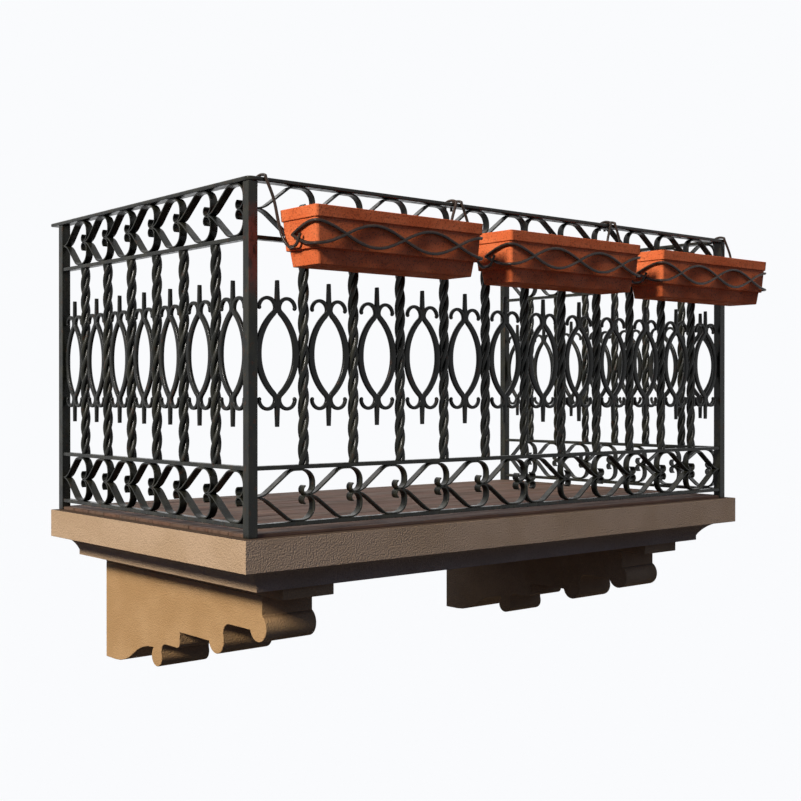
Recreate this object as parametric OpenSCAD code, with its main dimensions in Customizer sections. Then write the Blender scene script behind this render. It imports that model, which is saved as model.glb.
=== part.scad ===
// Wall balcony in millimetres: a forged steel railing on a stone slab with a cove moulding and two corbels.
// Three clay flower boxes hang outside the front railing in wire holders.
// The origin is the middle of the slab's back face, on the wall. +X runs along the front, -Y points
// away from the wall and +Z is up. Railing heights are counted from the top of the slab.

/* [Slab] */
// Width of the slab along the wall
slab_w = 2246; // [1800:2:3000]
// Depth of the slab out from the wall
slab_d = 1235; // [1000:1:1600]
// Thickness of the slab
slab_t = 92; // [60:1:140]
// Thickness of the boarded floor on the slab
floor_t = 10; // [4:1:20]
// Setback of the floor from the three free edges of the slab
floor_inset = 34; // [10:1:120]

/* [Moulding] */
// Height of the cove moulding under the slab
cove_h = 72; // [50:1:110]
// Setback of the top of the cove from the slab's edge
cove_inset = 16; // [4:1:40]
// Depth of the cove's hollow
cove_depth = 90; // [70:1:140]
// Height of the plain fillet below the hollow
cove_fillet = 17; // [8:1:30]

/* [Corbels] */
// Width of each corbel
corbel_w = 185; // [120:1:300]
// Distance of each corbel's middle from the end of the slab
corbel_inset = 301.5; // [240:0.5:600]
// Thickness of the cap slab on each corbel
cap_t = 36; // [20:1:60]
// Length of the cap slab out from the wall
cap_len = 1110; // [1030:1:1130]
// Height of the corbel at the wall, below its cap
corbel_h = 338; // [300:1:420]
// Length of the flat heel at the wall
heel_len = 70; // [20:1:140]
// Where the heel's ogee ends, out from the wall
ogee_len = 337; // [315:1:345]
// Depth of the corbel at the end of the ogee, below its cap
ogee_depth = 254; // [245:1:270]
// Radius of the small round drop
drop_r = 34.5; // [30:0.5:36]
// Middle of the small drop, out from the wall
drop_len = 366; // [355:1:372]
// Depth of the middle of the small drop, below the cap
drop_depth = 280; // [272:1:288]
// Radius of the hollow beside the small drop
drop_hollow_r = 28; // [20:1:34]
// Length of the lower step, out from the wall
step_len = 517; // [490:1:600]
// Depth of the lower step, below the cap
step_depth = 232; // [222:1:240]
// Rounding of the lower step's nose
step_round = 18; // [6:1:24]
// Depth of the middle stage, below the cap
middle_depth = 178; // [170:1:195]
// Radius of the two big round lobes
lobe_r = 44; // [36:1:50]
// Middle of the second lobe, out from the wall
lobe_len = 742; // [690:1:780]
// Depth of the middle of the second lobe, below the cap
lobe_depth = 168; // [158:1:178]
// Radius of the hollow beside the second lobe
lobe_hollow_r = 35; // [24:1:42]
// Depth of the front stage, below the cap
front_depth = 110; // [102:1:118]
// Middle of the front lobe, out from the wall
nose_len = 978; // [930:1:1000]
// Depth of the middle of the front lobe, below the cap
nose_depth = 97; // [88:1:106]
// Length of the corbel's neck above the front lobe, behind the lobe's front
nose_setback = 22; // [10:1:30]

/* [Railing] */
// Height of the handrail's top above the slab
rail_h = 1000; // [900:1:1200]
// Side of the square posts
post_s = 30; // [24:1:50]
// Setback of the posts from the slab's edge
post_inset = 29; // [10:1:60]
// Width of the handrail
hand_w = 40; // [34:1:60]
// Thickness of the handrail
hand_t = 12; // [8:1:20]
// Rounding of the handrail's outer corners, seen from above
hand_round = 20; // [6:1:30]
// Length of handrail let into the wall
hand_embed = 50; // [10:1:90]
// Width of the three flat rails under the handrail
rail_w = 25; // [20:1:40]
// Thickness of the three flat rails
rail_t = 12; // [8:1:20]
// Gap between the slab and the bottom rail
foot_gap = 26; // [22:1:60]
// Clear height of the scroll friezes
frieze_h = 149; // [120:1:180]

/* [Infill] */
// Number of bays in the front panel
front_bays = 12; // [8:2:16]
// Number of bays in each side panel
side_bays = 7; // [4:1:10]
// Bays beside the corner that repeat the front's bay width
corner_bays = 2; // [0:1:3]
// Reach of the three ribs of a twisted bar from its middle
bar_r = 16.3; // [12:0.1:18]
// Distance of the grooves between the ribs from the middle of the bar
bar_groove_r = 9.5; // [8.5:0.1:11]
// Length of one full turn of the twist
twist_len = 180; // [140:1:300]
// Depth of the lens ornaments
lens_d = 12; // [8:1:20]
// Width of a lens bar at its belly
lens_belly_w = 21; // [14:1:24]
// Width of a lens bar at its neck
lens_neck_w = 12; // [8:1:14]
// Width of a lens bar at the end of its hook
lens_tip_w = 9; // [6:1:10]
// Height of the neck above the middle of the lens
lens_neck_h = 128; // [110:1:150]
// Radius of the bend between belly and neck
lens_neck_r = 20; // [16:1:40]
// Radius of the hooks, as a share of the lens's half width
hook_share = 0.37; // [0.28:0.01:0.38]
// Radius of the round end of a hook
hook_ball_r = 5.5; // [5:0.5:8]
// Height of the spike's end above the middle of the lens
spike_h = 206; // [190:1:240]
// Width of the spike above the hooks
spike_base_w = 17; // [12:1:20]
// Width of the spike's end
spike_tip_w = 11; // [6:1:14]
// Radius of the weld beads between a lens and the ribs of its bars
bead_r = 4; // [3:0.5:6]
// Gap left for the weld between a lens and its neighbours
weld_gap = 0.2; // [0.1:0.1:0.3]

/* [Scrolls] */
// Number of scrolls in each side panel's friezes
side_scrolls = 7; // [5:1:9]
// Number of scrolls in each half of the front friezes
half_front_scrolls = 6; // [4:1:8]
// Scrolls beside the corner that repeat the front's scroll length
corner_scrolls = 2; // [0:1:3]
// Depth of the scroll strips
scroll_d = 25; // [15:1:25]
// Thickness of the scroll strips
scroll_t = 5; // [4:0.5:8]
// How deep the two strips of a scroll are welded into each other where they meet
scroll_lap = 1; // [0.6:0.1:1.6]
// Distance of the first scroll's tip from its post
scroll_start = 12; // [6:1:16]
// How much thinner the strip gets at each of its bends
scroll_draw = 0.06; // [0.04:0.02:0.12]
// Rise angle at a scroll's tip
tip_angle = 12; // [4:1:16]
// Radius of the bend where a scroll rises, as a share of its length
rise_share = 0.4; // [0.3:0.01:0.44]
// Radius of the shoulder below the rail, as a share of a scroll's length
shoulder_share = 0.24; // [0.18:0.01:0.27]
// Length of strip that lies against the rail, as a share of a scroll's length
flat_share = 0.16; // [0.08:0.01:0.2]
// Radius of the crown of a scroll's lobe, as a share of its height
crown_share = 0.54; // [0.45:0.01:0.56]
// Radius of the heel of a scroll's lobe, as a share of its height
heel_share = 0.37; // [0.34:0.01:0.4]
// Radius of the curl at the end of a scroll, as a share of its height
curl_share = 0.18; // [0.14:0.01:0.22]
// Turn of the curl
curl_turn = 155; // [120:5:200]

/* [Flower boxes] */
// Length of a flower box at its rim
box_l = 624; // [500:1:640]
// Width of a flower box at its rim
box_w = 176; // [150:1:220]
// Height of a flower box
box_h = 159; // [140:1:200]
// Height of the rim band
box_rim_h = 33; // [20:1:40]
// Height of the foot band
box_foot_h = 44; // [30:1:55]
// How far the rim stands out
box_rim_out = 6; // [3:1:10]
// How much the body narrows on each side towards the ledge
box_taper = 6; // [2:1:12]
// Width of the ledge above the foot
box_ledge = 8; // [5:1:10]
// Wall thickness of a flower box
box_wall = 9; // [6:1:12]
// Rounding of a flower box's upright corners
box_round = 10; // [6:1:20]
// Distance from the handrail's top down to the rim
box_drop = 89; // [60:1:140]
// Gap between the posts' faces and the rim
box_gap = 8; // [6:1:20]
// Gap between two boxes
box_between = 114; // [106:1:160]
// Shift of the middle box from the middle of the balcony
box_shift = 51; // [-60:1:60]
// How much lower each box hangs than the one on its left
box_sag = 6; // [0:1:12]

/* [Wire holders] */
// Diameter of the holder's wire
wire_d = 9; // [6:0.5:10]
// Height of the waves above and below their middle line
wave_h = 31; // [20:1:33]
// Number of eyes that the two waves make
wave_eyes = 4; // [2:2:6]
// Distance of the waves' ends from the back of the box
wave_back = 62; // [40:1:80]
// How far the hooks stand out from the ends of a box, at the handrail
hook_out = 44; // [20:1:50]
// Length of the hook's end behind the handrail
hook_end = 20; // [10:1:40]

/* [Hidden] */

iron = "#2b2c28";
stone = "#c3a07a";
boards = "#5b4238";
clay = "#d2582c";
wire_brown = "#3b332c";

// Lines of the railing: the middles of the posts, and the top of the slab
post_x = slab_w / 2 - post_inset - post_s / 2;
corner_y = -(slab_d - post_inset - post_s / 2);
wall_y = -post_s / 2;
slab_top = slab_t / 2;
front_run = 2 * post_x;
side_run = wall_y - corner_y;

// Heights of the rails above the slab
hand_z = rail_h - hand_t;
frieze_rail_z = hand_z - frieze_h - rail_t;
lower_rail_z = foot_gap + rail_t + frieze_h;
infill_z = lower_rail_z + rail_t;
infill_h = frieze_rail_z - infill_z;

// Bay edges along a panel, counted from the middle of its first post
front_bay = front_run / front_bays;
side_bay = (side_run - corner_bays * front_bay) / (side_bays - corner_bays);
front_edges = [for (i = [0 : front_bays]) i * front_bay];
side_edges = [
    for (i = [0 : side_bays])
        i * side_bay + max(0, i - (side_bays - corner_bays)) * (front_bay - side_bay)
];
twist = 360 * infill_h / twist_len;
twist_slices = 2 * floor(twist / 120) + 1;
bead_z = infill_h / twist_slices / 2;

// Scroll sizes: two lobes fill the frieze, and the next scroll's tip sits in the notch between their heels
scroll_mid = scroll_t / 2 - scroll_lap;
scroll_top = frieze_h / 2 - weld_gap - scroll_t / 2;
crown_r = crown_share * (scroll_top - scroll_mid);
heel_r = heel_share * (scroll_top - scroll_mid);
curl_r = curl_share * (scroll_top - scroll_mid);
notch = sqrt(pow(heel_r, 2) - pow(heel_r - scroll_t, 2));
scroll_ends = scroll_start + heel_r + scroll_t / 2 - notch + weld_gap;
front_scroll = ((front_run - post_s) / 2 - scroll_ends) / half_front_scrolls;
wall_scrolls = side_scrolls - corner_scrolls;
side_scroll = (side_run - post_s - scroll_ends - corner_scrolls * front_scroll) / wall_scrolls;
bend_lap = scroll_t / 10;

// Levels of the masonry under the slab, and the middle of the right corbel
cove_z = -slab_t / 2 - cove_h;
corbel_z = cove_z - cap_t;
corbel_x = slab_w / 2 - corbel_inset;

// Lines of a flower box, from its foot and the back of its rim
box_pitch = box_l + box_between;
box_y = corner_y - post_s / 2 - box_gap;
box_body_h = box_h - box_rim_h - box_foot_h;
body_in = box_rim_out;
ledge_in = body_in + box_taper;
foot_in = ledge_in + box_ledge;
wire_r = wire_d / 2;
touch = 0.3;
eps = 0.01;

// Points along an arc, about one for each step of degrees
function arc(c, r, a0, a1, step = 12) =
    let (n = ceil(abs(a1 - a0) / step))
    [for (i = [0 : n]) c + r * [cos(a0 + (a1 - a0) * i / n), sin(a0 + (a1 - a0) * i / n)]];

// The same arc as path points [x, y, heading, width], turning with the sign of a1 - a0
function bent(c, r, a0, a1, w0, w1, step = 18) =
    let (n = ceil(abs(a1 - a0) / step), s = sign(a1 - a0))
    [
        for (i = [0 : n])
            let (a = a0 + (a1 - a0) * i / n)
            [c[0] + r * cos(a), c[1] + r * sin(a), a + s * 90, w0 + (w1 - w0) * i / n]
    ];

function tail(p) = [for (i = [1 : len(p) - 1]) p[i]];
function side_of(p, k) = [for (q = p) [q[0] - k * q[3] / 2 * sin(q[2]), q[1] + k * q[3] / 2 * cos(q[2])]];
function backwards(p) = [for (i = [len(p) - 1 : -1 : 0]) p[i]];

// A strip of metal of the path's width, as one outline
module strip(p) {
    polygon(concat(side_of(p, 1), backwards(side_of(p, -1))));
}

// Places a panel's drawing: x runs along the panel from its first post, y is the height above the slab
module front_panel() {
    translate([-post_x, corner_y, slab_top]) rotate([90, 0, 0]) children();
}

module side_panel(side) {
    translate([side * post_x, wall_y, slab_top]) rotate([90, 0, -90]) children();
}

module bar_of_panel(run, z, w, t) {
    translate([post_s / 2, z, -w / 2]) cube([run - post_s, t, w]);
}

// The flat rails run between the posts
module front_rail(z) {
    color(iron) front_panel() bar_of_panel(front_run, z, rail_w, rail_t);
}

module side_rail(side, z) {
    color(iron) side_panel(side) bar_of_panel(side_run, z, rail_w, rail_t);
}

module post(x, y) {
    color(iron) translate([x - post_s / 2, y - post_s / 2, slab_top]) cube([post_s, post_s, hand_z]);
}

// Outline of the whole handrail from above, with its outer corners rounded
module handrail_plan() {
    x = post_x + hand_w / 2;
    y = corner_y - hand_w / 2;
    difference() {
        union() {
            translate([-x, y + hand_round]) square([2 * x, hand_embed - y - hand_round]);
            translate([-x + hand_round, y]) square([2 * (x - hand_round), 2 * hand_round]);
            for (s = [-1, 1]) translate([s * (x - hand_round), y + hand_round]) circle(hand_round, $fn = 64);
        }
        translate([-x + hand_w, y + hand_w]) square([2 * (x - hand_w), hand_embed - y]);
    }
}

// The front piece of the plan, between the two mitres, or the side pieces behind them
module mitre_wedge() {
    x = post_x + hand_w;
    y = corner_y - hand_w;
    reach = 2 * hand_w;
    polygon([[-x, y], [x, y], [x - reach, y + reach], [-x + reach, y + reach]]);
}

module front_handrail() {
    color(iron) translate([0, 0, slab_top + hand_z]) linear_extrude(hand_t) intersection() {
        handrail_plan();
        mitre_wedge();
    }
}

module side_handrail(side) {
    x = post_x + hand_w;
    color(iron) translate([0, 0, slab_top + hand_z]) linear_extrude(hand_t) difference() {
        intersection() {
            handrail_plan();
            translate([side > 0 ? 0 : -x, corner_y - hand_w]) square([x, 2 * slab_d]);
        }
        mitre_wedge();
    }
}

// A bar of three ribs twisted about its own axis, with one rib towards the floor's side at mid height
module twisted_bar() {
    rotate([-90, 0, 0]) rotate(-twist / 2)
        linear_extrude(infill_h, twist = -twist, slices = twist_slices, segments = 6) polygon([
            for (i = [0 : 5])
                (i % 2 == 0 ? bar_r : bar_groove_r) * [cos(90 + 60 * i), sin(90 + 60 * i)]
        ]);
}

module twisted_bars(edges) {
    color(iron) for (i = [1 : len(edges) - 2]) translate([edges[i], infill_z, 0]) twisted_bar();
}

// Upper half of the right bar of a lens: belly, neck and hook
function lens_half(half) =
    let (
        x0 = half - lens_belly_w / 2,
        xn = lens_neck_w / 2,
        turn = 2 * atan((x0 - xn) / lens_neck_h),
        belly_r = lens_neck_h / sin(turn) - lens_neck_r,
        hook_r = hook_share * half
    )
    concat(
        bent([x0 - belly_r, 0], belly_r, 0, turn, lens_belly_w, (lens_belly_w + lens_neck_w) / 2),
        tail(bent([xn + lens_neck_r, lens_neck_h], lens_neck_r, 180 + turn, 180,
            (lens_belly_w + lens_neck_w) / 2, lens_neck_w, 25)),
        tail(bent([xn + hook_r, lens_neck_h], hook_r, 180, 0, lens_neck_w, lens_tip_w, 36))
    );

function upside_down(p) = [for (q = backwards(tail(p))) [q[0], -q[1], 180 - q[2], q[3]]];

// A lens with weld beads on those of its two sides where a bar's rib comes nearest
module lens_ornament(half, beads) {
    right = lens_half(half);
    hook_end_x = lens_neck_w / 2 + 2 * hook_share * half;
    linear_extrude(lens_d, center = true) {
        for (m = [0, 1]) mirror([m, 0]) strip(concat(upside_down(right), right));
        for (m = [0, 1]) mirror([0, m]) polygon([
            [0, lens_neck_h - lens_neck_w], [spike_base_w / 2, lens_neck_h + lens_neck_w],
            [spike_tip_w / 2, spike_h], [-spike_tip_w / 2, spike_h],
            [-spike_base_w / 2, lens_neck_h + lens_neck_w]
        ]);
        for (mx = [0, 1], my = [0, 1]) mirror([mx, 0]) mirror([0, my])
            translate([hook_end_x - hook_ball_r / 4, lens_neck_h]) circle(hook_ball_r, $fn = 10);
        for (s = beads) translate([s * (half - bead_r), -s * bead_z]) circle(bead_r, $fn = 64);
    }
}

// One lens in each bay, between the bars or posts on its two sides
module lens_ornaments(edges) {
    last = len(edges) - 1;
    color(iron) for (i = [0 : last - 1]) {
        from = edges[i] + (i == 0 ? post_s / 2 : bar_r) + weld_gap;
        to = edges[i + 1] - (i == last - 1 ? post_s / 2 : bar_r) - weld_gap;
        beads = concat(i == 0 ? [] : [-1], i == last - 1 ? [] : [1]);
        translate([(from + to) / 2, infill_z + infill_h / 2, 0]) lens_ornament((to - from) / 2, beads);
    }
}

// A bent stretch of strip about the middle c, from angle a0 to a1, lapped back into the stretch before it
module bend(c, r, a0, a1, t, lap = bend_lap) {
    start = a0 - sign(a1 - a0) * asin(lap / r);
    parts = ceil(abs(a1 - start) / 60);
    far = 2 * (r + t);
    translate(c) intersection() {
        difference() {
            circle(r + t / 2, $fn = 64);
            circle(r - t / 2, $fn = 64);
        }
        polygon(concat([[0, 0]], [
            for (i = [0 : parts])
                let (a = start + (a1 - start) * i / parts)
                far * [cos(a), sin(a)]
        ]));
    }
}

// A straight stretch of strip from point p at the given angle, lapped back in the same way
module straight(p, angle, length, t) {
    translate(p) rotate(angle) translate([-bend_lap, -t / 2]) square([length + bend_lap, t]);
}

// Thickness of the strip at its n-th stretch
function drawn(n) = scroll_t - n * scroll_draw;

// Upper strip of a scroll: from its tip up to the shoulder, along the rail, round the lobe and into the curl
module scroll_arm(pitch) {
    rise_r = rise_share * pitch;
    shoulder_r = shoulder_share * pitch;
    flat = flat_share * pitch;
    lobe_x = pitch - notch + heel_r;
    heel_x = lobe_x - heel_r;
    crown_x = lobe_x - crown_r;
    rise = [-rise_r * sin(tip_angle), scroll_mid + rise_r * cos(tip_angle)];
    shoulder = [crown_x - flat, scroll_top - shoulder_r];
    apart = norm(shoulder - rise);
    bends = rise_r + shoulder_r;
    steep = atan2(shoulder[1] - rise[1], shoulder[0] - rise[0]) + asin(bends / apart);
    run_start = rise + rise_r * [sin(steep), -cos(steep)];
    bend(rise, rise_r, tip_angle - 90, steep - 90, drawn(0), scroll_start + 1);
    straight(run_start, steep, sqrt(pow(apart, 2) - pow(bends, 2)), drawn(1));
    bend(shoulder, shoulder_r, 90 + steep, 90, drawn(2));
    straight([crown_x - flat, scroll_top], 0, flat, drawn(3));
    bend([crown_x, scroll_top - crown_r], crown_r, 90, 0, drawn(4));
    straight([lobe_x, scroll_top - crown_r], -90, scroll_top - crown_r - scroll_mid - heel_r, drawn(5));
    bend([heel_x, scroll_mid + heel_r], heel_r, 0, -90, drawn(6));
    bend([heel_x, scroll_mid + curl_r], curl_r, -90, -90 - curl_turn, drawn(7));
}

module scrolls(pitch, count) {
    for (i = [0 : count - 1], m = [0, 1]) translate([i * pitch, 0]) mirror([0, m]) scroll_arm(pitch);
}

// The side friezes run from the wall to the corner, where the scrolls are as long as on the front
module side_frieze(z) {
    color(iron) translate([post_s / 2, z + frieze_h / 2, 0]) linear_extrude(scroll_d, center = true) intersection() {
        translate([scroll_start, 0]) {
            scrolls(side_scroll, wall_scrolls);
            if (corner_scrolls > 0) translate([wall_scrolls * side_scroll, 0]) scrolls(front_scroll, corner_scrolls);
        }
        translate([0, -frieze_h]) square([side_run - post_s, 2 * frieze_h]);
    }
}

// The front friezes run from both posts and meet back to back in the middle
module front_frieze(z) {
    half = (front_run - post_s) / 2;
    color(iron) translate([front_run / 2, z + frieze_h / 2, 0]) linear_extrude(scroll_d, center = true)
        for (m = [0, 1]) mirror([m, 0]) intersection() {
            translate([scroll_start - half, 0]) scrolls(front_scroll, half_front_scrolls);
            translate([-half, -frieze_h]) square([half, 2 * frieze_h]);
        }
}

module slab() {
    color(stone) translate([-slab_w / 2, -slab_d, -slab_t / 2]) cube([slab_w, slab_d, slab_t]);
}

// The floor is cut out round the four posts
module floor_boards() {
    color(boards) translate([0, 0, slab_top]) difference() {
        translate([-slab_w / 2 + floor_inset, -slab_d + floor_inset, 0])
            cube([slab_w - 2 * floor_inset, slab_d - floor_inset, floor_t]);
        for (x = [-post_x, post_x], y = [corner_y, wall_y])
            translate([x - post_s / 2, y - post_s / 2, -eps]) cube([post_s, post_s, floor_t + 2 * eps]);
    }
}

// A hollow moulding that returns along both sides of the slab, on a plain fillet
module cove_moulding() {
    drop = cove_h - cove_fillet;
    r = (pow(cove_depth, 2) + pow(drop, 2)) / (2 * drop);
    w = slab_w - 2 * cove_inset;
    d = slab_d - cove_inset;
    foot = cove_inset + cove_depth;
    color(stone) {
        difference() {
            translate([-w / 2, -d, -slab_t / 2 - drop]) cube([w, d, drop]);
            for (s = [-1, 1]) translate([s * w / 2, 1, -slab_t / 2 - r]) rotate([90, 0, 0])
                cylinder(h = slab_d + 2, r = r, $fn = 96);
            translate([-w / 2 - 1, -d, -slab_t / 2 - r]) rotate([0, 90, 0]) cylinder(h = w + 2, r = r, $fn = 96);
        }
        translate([-slab_w / 2 + foot, -slab_d + foot, cove_z]) cube([slab_w - 2 * foot, slab_d - foot, cove_fillet]);
    }
}

module corbel_cap(side) {
    color(stone) translate([side * corbel_x - corbel_w / 2, -cap_len, corbel_z]) cube([corbel_w, cap_len, cap_t]);
}

// Angle, seen from the left, at which a round drop leaves a flat soffit above it
function leave_angle(r, drop) = 180 - asin(drop / r);

// Centre of a hollow of radius h that touches a soffit and a round drop of radius r at c
function hollow_centre(c, r, h, soffit) =
    [c[0] + sqrt(pow(r + h, 2) - pow(-soffit - h - c[1], 2)), -soffit - h];

function meet_angle(c, h) = atan2(h[1] - c[1], h[0] - c[0]);

// Side view of a corbel: x is out from the wall, y is up from the underside of the cap
module corbel_profile() {
    ogee_w = ogee_len - heel_len;
    ogee_h = corbel_h - ogee_depth;
    ogee_turn = 2 * atan(ogee_h / ogee_w);
    ogee_r = ogee_w / sin(ogee_turn) / 2;
    drop = [drop_len, -drop_depth];
    drop_hollow = hollow_centre(drop, drop_r, drop_hollow_r, step_depth);
    drop_meet = meet_angle(drop, drop_hollow);
    lobe = [lobe_len, -lobe_depth];
    lobe_hollow = hollow_centre(lobe, lobe_r, lobe_hollow_r, front_depth);
    lobe_meet = meet_angle(lobe, lobe_hollow);
    nose = [nose_len, -nose_depth];
    neck_angle = acos(nose_setback / lobe_r);
    polygon(concat(
        [[0, 0], [0, -corbel_h]],
        arc([heel_len, ogee_r - corbel_h], ogee_r, -90, ogee_turn - 90, 9),
        tail(arc([ogee_len, -ogee_depth - ogee_r], ogee_r, 90 + ogee_turn, 90, 9)),
        arc(drop, drop_r, leave_angle(drop_r, drop_depth - ogee_depth), 360 + drop_meet),
        tail(arc(drop_hollow, drop_hollow_r, 180 + drop_meet, 90)),
        arc([step_len - step_round, step_round - step_depth], step_round, -90, 0),
        [[step_len, -middle_depth]],
        arc(lobe, lobe_r, leave_angle(lobe_r, lobe_depth - middle_depth), 360 + lobe_meet),
        tail(arc(lobe_hollow, lobe_hollow_r, 180 + lobe_meet, 90)),
        arc(nose, lobe_r, leave_angle(lobe_r, nose_depth - front_depth), 360 + neck_angle),
        [[nose_len + nose_setback, 0]]
    ));
}

module corbel(side) {
    color(stone) translate([side * corbel_x, 0, corbel_z]) rotate([90, 0, -90])
        linear_extrude(corbel_w, center = true) corbel_profile();
}

// Rectangle with round corners, set in from the rim's outline; its back is set in as well
module box_outline(inset) {
    r = max(box_round - inset / 2, 2);
    hull() for (x = [-1, 1], y = [-inset - r, -box_w + inset + r])
        translate([x * (box_l / 2 - inset - r), y]) circle(r, $fn = 24);
}

// A slice of the box from one outline up to another
module box_slice(z, h, inset_low, inset_high) {
    hull() {
        translate([0, 0, z]) linear_extrude(eps) box_outline(inset_low);
        translate([0, 0, z + h - eps]) linear_extrude(eps) box_outline(inset_high);
    }
}

// Middle of a box along the balcony, and the distance from the handrail's top down to its rim
function box_x(i) = box_shift + i * box_pitch;
function hang(i) = box_drop + (i + 1) * box_sag;

module box_at(i) {
    translate([box_x(i), box_y, slab_top + rail_h - hang(i) - box_h]) children();
}

module flower_box(i) {
    color(clay) box_at(i) difference() {
        union() {
            box_slice(0, box_foot_h, foot_in + box_taper, foot_in);
            box_slice(box_foot_h - eps, box_body_h + 2 * eps, ledge_in, body_in);
            box_slice(box_h - box_rim_h, box_rim_h, box_rim_out / 3, 0);
        }
        box_slice(box_wall, box_h, foot_in + box_taper + box_wall, body_in + box_wall / 2);
    }
}

// A bent round wire through a list of points
module wire(points) {
    for (i = [0 : len(points) - 2]) hull() {
        translate(points[i]) sphere(wire_r, $fn = 5);
        translate(points[i + 1]) sphere(wire_r, $fn = 5);
    }
}

// The waves' way round the box, seen from above, as a function of the length along it
wave_x = box_l / 2 - body_in + wire_r + touch;
wave_front = -box_w + body_in - wire_r - touch;
wave_round = box_round + wire_r;
wave_side = -wave_front - wave_back - wave_round;
wave_corner = PI / 2 * wave_round;
wave_total = 2 * (wave_side + wave_corner + wave_x - wave_round);
wave_z = box_foot_h + box_body_h / 2;

function wave_plan(s) =
    s > wave_total / 2 ? let (p = wave_plan(wave_total - s)) [-p[0], p[1]]
    : s < wave_side ? [-wave_x, -wave_back - s]
    : s < wave_side + wave_corner
        ? let (a = 180 + 90 * (s - wave_side) / wave_corner)
            [-wave_x + wave_round + wave_round * cos(a), wave_front + wave_round + wave_round * sin(a)]
    : [-wave_x + wave_round + s - wave_side - wave_corner, wave_front];

function wave(up, steps = 6) = [
    for (i = [0 : wave_eyes * steps])
        let (p = wave_plan(wave_total * i / wave_eyes / steps))
        [p[0], p[1], wave_z + up * wave_h * sin(180 * i / steps)]
];

// A smooth curve through the points, with n pieces between each two
function smooth(p, n) = concat([
    for (i = [0 : len(p) - 2], k = [0 : n - 1])
        let (
            t = k / n,
            a = p[max(i - 1, 0)], b = p[i], c = p[i + 1], d = p[min(i + 2, len(p) - 1)]
        )
        b + t * (c - a) / 2 + t * t * (2 * a - 5 * b + 4 * c - d) / 2 + t * t * t * (3 * b - 3 * c + d - a) / 2
], [p[len(p) - 1]]);

// The hook's points: behind and over the handrail, down past the rim, along the ledge and up into the first eye.
// The hook stands at x over the handrail, and drop is the distance from the handrail's top to the rim.
rail_mid_y = corner_y - box_y;
hook_reach = hand_w / 2 + wire_r + touch;
hook_low = box_foot_h + wire_d;

function hook_points(x, drop) = let (top = box_h + drop, lean = (x - box_l / 2) / 2) [
    [x, rail_mid_y + hook_reach, top - hook_end],
    [x, rail_mid_y + hook_reach, top - wire_r],
    [x, rail_mid_y + hook_reach - wire_r, top + wire_r + touch],
    [x, rail_mid_y, top + wire_d],
    [x, rail_mid_y - hook_reach + wire_r, top + wire_r + touch],
    [x, rail_mid_y - hook_reach, top - wire_r],
    [box_l / 2 + max(lean, wire_d), rail_mid_y - hook_reach - wire_r, box_h + drop / 3],
    [box_l / 2 + wire_d, -wave_back / 6, box_h - box_rim_h],
    [wave_x + wire_r, -wave_back / 3, wave_z],
    [wave_x, -wave_back * 2 / 3, hook_low + wire_r],
    [wave_x, -wave_back, hook_low],
    [wave_x + wire_r, -wave_back - 3 * wire_d, hook_low + wire_r],
    [wave_x + wire_r, -wave_back - 5 * wire_d, wave_z]
];

// A hook never stands beyond the corner post
module box_holder(i) {
    color(wire_brown) box_at(i) union() {
        wire(wave(1));
        wire(wave(-1));
        for (m = [0, 1]) mirror([m, 0, 0])
            wire(smooth(hook_points(min(box_l / 2 + hook_out, post_x - (1 - 2 * m) * box_x(i)), hang(i)), 2));
    }
}

post(-post_x, wall_y);  // left_wall_post
post(-post_x, corner_y);  // left_corner_post
post(post_x, corner_y);  // right_corner_post
post(post_x, wall_y);  // right_wall_post
side_handrail(-1);  // left_handrail
front_handrail();
side_handrail(1);  // right_handrail
side_rail(-1, frieze_rail_z);  // left_frieze_rail
front_rail(frieze_rail_z);  // front_frieze_rail
side_rail(1, frieze_rail_z);  // right_frieze_rail
side_rail(-1, lower_rail_z);  // left_lower_rail
front_rail(lower_rail_z);  // front_lower_rail
side_rail(1, lower_rail_z);  // right_lower_rail
side_rail(-1, foot_gap);  // left_bottom_rail
front_rail(foot_gap);  // front_bottom_rail
side_rail(1, foot_gap);  // right_bottom_rail
side_panel(-1) twisted_bars(side_edges);  // left_twisted_bars
front_panel() twisted_bars(front_edges);  // front_twisted_bars
side_panel(1) twisted_bars(side_edges);  // right_twisted_bars
side_panel(-1) lens_ornaments(side_edges);  // left_lens_ornaments
front_panel() lens_ornaments(front_edges);  // front_lens_ornaments
side_panel(1) lens_ornaments(side_edges);  // right_lens_ornaments
side_panel(-1) side_frieze(frieze_rail_z + rail_t);  // left_top_scrolls
front_panel() front_frieze(frieze_rail_z + rail_t);  // front_top_scrolls
side_panel(1) side_frieze(frieze_rail_z + rail_t);  // right_top_scrolls
side_panel(-1) side_frieze(foot_gap + rail_t);  // left_bottom_scrolls
front_panel() front_frieze(foot_gap + rail_t);  // front_bottom_scrolls
side_panel(1) side_frieze(foot_gap + rail_t);  // right_bottom_scrolls
slab();
floor_boards();
cove_moulding();
corbel_cap(-1);  // left_corbel_cap
corbel_cap(1);  // right_corbel_cap
corbel(-1);  // left_corbel
corbel(1);  // right_corbel
flower_box(-1);  // left_flower_box
flower_box(0);  // middle_flower_box
flower_box(1);  // right_flower_box
box_holder(-1);  // left_box_holder
box_holder(0);  // middle_box_holder
box_holder(1);  // right_box_holder
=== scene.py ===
"""Looks of a balcony: forged steel railing, plastered stone, boards, clay flower boxes and wire holders."""

import logging
import math
import random
from collections.abc import Sequence
from dataclasses import dataclass
from enum import Enum
from typing import Any, NamedTuple

import bmesh
import bpy
from mathutils import Matrix, Vector


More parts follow.
